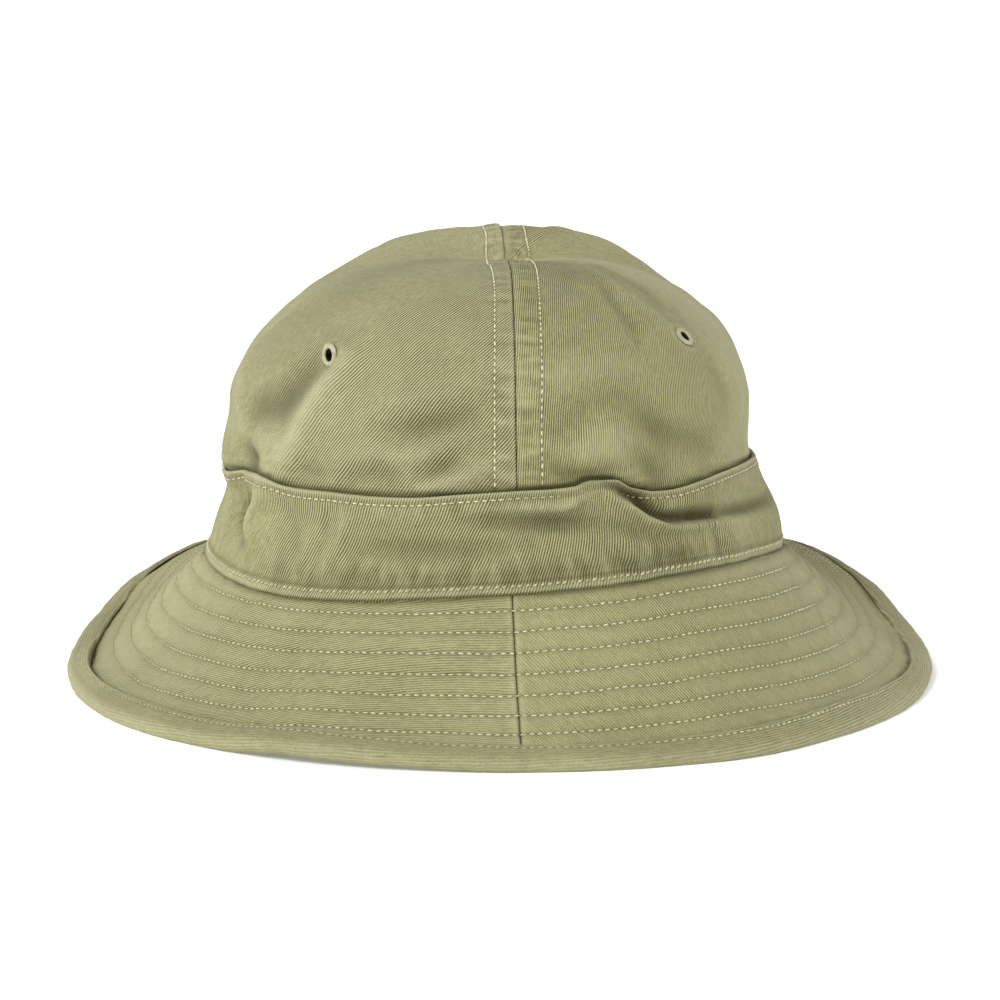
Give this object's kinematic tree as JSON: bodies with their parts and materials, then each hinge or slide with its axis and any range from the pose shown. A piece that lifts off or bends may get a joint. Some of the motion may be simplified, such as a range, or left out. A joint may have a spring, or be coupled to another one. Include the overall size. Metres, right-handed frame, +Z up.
{
  "type": "military chino hat",
  "caption": "Soft cotton twill hat with a round gored crown, a plain band, a sloping brim stitched in rows, a bound rim and metal vent eyelets; hollow and open below for the head.",
  "frame": {"origin": "middle of the bounding box's base, on the plane that the rim rests on", "axes": "+Z up to the crown's top, -Y to the hat's front, +X to the right when seen from the front"},
  "size_m": [0.2688, 0.2866, 0.1357],
  "materials": {
    "crown_cloth": "matte khaki cotton twill",
    "band_cloth": "matte khaki cotton twill",
    "brim_cloth": "matte khaki cotton twill, stitched in rows",
    "binding_cloth": "matte khaki cotton twill",
    "eyelet_metal": "cream enamel, slightly glossy"
  },
  "bodies": {
    "root": {"crown_front_left": "crown_cloth", "crown_front_right": "crown_cloth", "crown_back_left": "crown_cloth", "crown_back_right": "crown_cloth", "band": "band_cloth", "brim_left": "brim_cloth", "brim_right": "brim_cloth", "rim_binding": "binding_cloth", "eyelet_front_left": "eyelet_metal", "eyelet_front_right": "eyelet_metal", "eyelet_back_left": "eyelet_metal", "eyelet_back_right": "eyelet_metal"}
  },
  "joints": []
}
